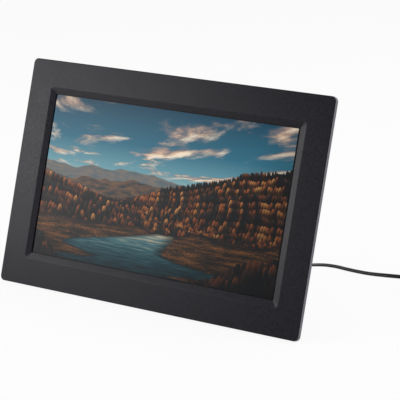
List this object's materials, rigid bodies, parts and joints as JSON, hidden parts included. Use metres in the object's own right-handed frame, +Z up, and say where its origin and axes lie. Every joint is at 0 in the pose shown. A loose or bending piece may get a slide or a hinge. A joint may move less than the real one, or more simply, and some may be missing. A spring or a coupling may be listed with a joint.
{
  "type": "digital photo frame",
  "caption": "Wide digital photo frame that leans back on rubber feet and a folding rear leg, with its flat power lead and wall adapter.",
  "frame": {"origin": "on the standing surface, at the middle of the frame's width and of its depth with the leg open", "axes": "+X along the frame's width, to the right for someone who faces the screen; the screen faces -Y; +Z up"},
  "size_m": [0.3508, 0.2454, 0.1722],
  "materials": {
    "front_plastic": "fine matte texture",
    "cover_plastic": "fine moulded texture",
    "key_plastic": "satin",
    "screen_film": "clear and glossy over a lit picture",
    "cell_glass": "polished",
    "white_film": "satin",
    "clear_acrylic": "polished",
    "foam": "foam",
    "tray_metal": "rolled sheet",
    "screw_steel": "zinc plated",
    "screw_black": "black oxide",
    "bright_metal": "nickel plated",
    "circuit_board": "solder mask",
    "component_black": "moulded epoxy",
    "flat_cable": "polyimide film",
    "lead_red": "vinyl",
    "soft_rubber": "matte",
    "lead_vinyl": "soft vinyl",
    "tie_strap": "woven hook and loop",
    "adapter_plastic": "fine spark texture"
  },
  "bodies": {
    "frame": {"front_bezel": "front_plastic", "screen_gasket": "foam", "front_polarizer": "screen_film", "lcd_cell": "cell_glass", "diffuser_films": "white_film", "light_guide": "clear_acrylic", "reflector_sheet": "white_film", "backlight_tray": "tray_metal", "led_strip": "white_film", "lcd_flex": "flat_cable", "driver_board": "circuit_board", "display_cable": "flat_cable", "lcd_brackets": "tray_metal", "lcd_screws": "screw_steel", "rear_cover": "cover_plastic", "cover_screws": "screw_black", "main_board": "circuit_board", "board_parts": "component_black", "coin_cell": "bright_metal", "board_screws": "screw_steel", "power_jack": "component_black", "card_socket": "bright_metal", "usb_socket": "bright_metal", "key_board": "circuit_board", "key_switches": "tray_metal", "key_board_screws": "screw_steel", "key_cable": "flat_cable", "left_speaker": "component_black", "right_speaker": "component_black", "speaker_leads": "lead_red", "hanger_plates": "tray_metal", "hanger_screws": "screw_steel", "rubber_feet": "soft_rubber", "stand_pin": "screw_steel", "friction_washers": "screw_steel", "plug_barrel": "bright_metal", "plug_grip": "lead_vinyl", "plug_relief": "lead_vinyl", "cord_run": "lead_vinyl", "cord_coil": "lead_vinyl", "cord_tail": "lead_vinyl", "coil_tie": "tie_strap", "adapter_relief": "lead_vinyl", "adapter_base": "adapter_plastic", "adapter_lid": "adapter_plastic", "adapter_board": "circuit_board", "adapter_pins": "bright_metal"},
    "leg": {"stand_leg": "cover_plastic", "leg_pad": "soft_rubber"},
    "power_key": {"power_key": "key_plastic"},
    "menu_key": {"menu_key": "key_plastic"},
    "up_key": {"up_key": "key_plastic"},
    "down_key": {"down_key": "key_plastic"},
    "left_key": {"left_key": "key_plastic"},
    "right_key": {"right_key": "key_plastic"},
    "enter_key": {"enter_key": "key_plastic"}
  },
  "joints": [
    {"name": "leg_hinge", "type": "hinge", "parent": "frame", "child": "leg", "pos_m": [0, 0.00755, 0.09844], "axis": [1, 0, 0], "range_deg": [-36.4, 0]},
    {"name": "power_key_press", "type": "slide", "parent": "frame", "child": "power_key", "axis": [0, -0.9593, 0.2823], "range_m": [0, 0.0005], "stiffness_N_per_m": 600, "springref_m": -0.0005},
    {"name": "menu_key_press", "type": "slide", "parent": "frame", "child": "menu_key", "axis": [0, -0.9593, 0.2823], "range_m": [0, 0.0005], "stiffness_N_per_m": 600, "springref_m": -0.0005},
    {"name": "up_key_press", "type": "slide", "parent": "frame", "child": "up_key", "axis": [0, -0.9593, 0.2823], "range_m": [0, 0.0005], "stiffness_N_per_m": 600, "springref_m": -0.0005},
    {"name": "down_key_press", "type": "slide", "parent": "frame", "child": "down_key", "axis": [0, -0.9593, 0.2823], "range_m": [0, 0.0005], "stiffness_N_per_m": 600, "springref_m": -0.0005},
    {"name": "left_key_press", "type": "slide", "parent": "frame", "child": "left_key", "axis": [0, -0.9593, 0.2823], "range_m": [0, 0.0005], "stiffness_N_per_m": 600, "springref_m": -0.0005},
    {"name": "right_key_press", "type": "slide", "parent": "frame", "child": "right_key", "axis": [0, -0.9593, 0.2823], "range_m": [0, 0.0005], "stiffness_N_per_m": 600, "springref_m": -0.0005},
    {"name": "enter_key_press", "type": "slide", "parent": "frame", "child": "enter_key", "axis": [0, -0.9593, 0.2823], "range_m": [0, 0.0005], "stiffness_N_per_m": 600, "springref_m": -0.0005}
  ]
}
